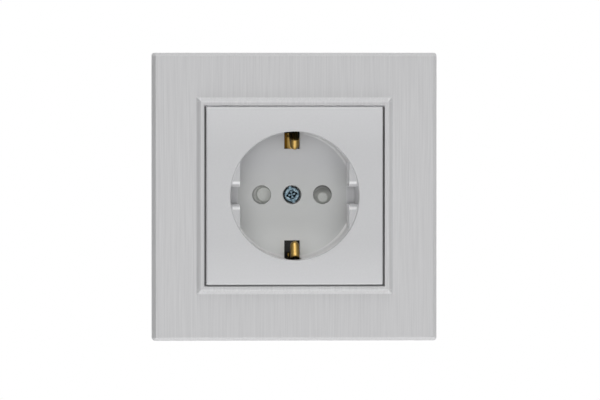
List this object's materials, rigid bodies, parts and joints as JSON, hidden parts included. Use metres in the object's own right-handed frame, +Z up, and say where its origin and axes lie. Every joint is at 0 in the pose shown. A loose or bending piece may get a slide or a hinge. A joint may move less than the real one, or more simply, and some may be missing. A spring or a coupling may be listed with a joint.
{
  "type": "wall socket",
  "caption": "Flush wall socket: square silver cover frame, insert with round plug recess, side earth clips, pin shutter and rear terminals.",
  "frame": {"origin": "middle of the plug recess on the wall's surface", "axes": "+X right, +Z up as seen from the room, +Y into the wall"},
  "size_m": [0.0884, 0.0412, 0.0893],
  "materials": {
    "frame_silver": "satin silver lacquer",
    "insert_silver": "satin silver lacquer",
    "shutter_grey": "matt",
    "inner_plastic": "matt",
    "base_black": "matt thermoset",
    "cover_grey": "matt",
    "brass": "bright",
    "zinc_steel": "zinc plated",
    "zinc_screw": "blue zinc plated",
    "spring_steel": "drawn wire"
  },
  "bodies": {
    "socket": {"cover_frame": "frame_silver", "socket_insert": "insert_silver", "centre_screw": "zinc_screw", "shutter_spring": "spring_steel", "shutter_retainer": "inner_plastic", "earth_bracket": "brass", "mounting_ring": "zinc_steel", "base_block": "base_black", "rear_cover": "cover_grey", "cover_screw_left": "zinc_steel", "cover_screw_right": "zinc_steel", "terminal_screw_live": "zinc_steel", "clamp_plate_live": "zinc_steel", "terminal_screw_neutral": "zinc_steel", "clamp_plate_neutral": "zinc_steel", "terminal_screw_earth": "zinc_steel", "clamp_plate_earth": "zinc_steel", "contact_live": "brass", "contact_neutral": "brass", "ring_rivet_1": "zinc_steel", "ring_rivet_2": "zinc_steel", "ring_rivet_3": "zinc_steel", "ring_rivet_4": "zinc_steel"},
    "shutter": {"shutter": "shutter_grey"}
  },
  "joints": [
    {"name": "shutter_turn", "type": "hinge", "parent": "socket", "child": "shutter", "pos_m": [0, 0.01195, 0], "axis": [0, 1, 0], "range_deg": [0, 36], "stiffness_Nm_per_rad": 0.01, "springref_deg": -28.65, "deforming": ["shutter_spring"]}
  ]
}
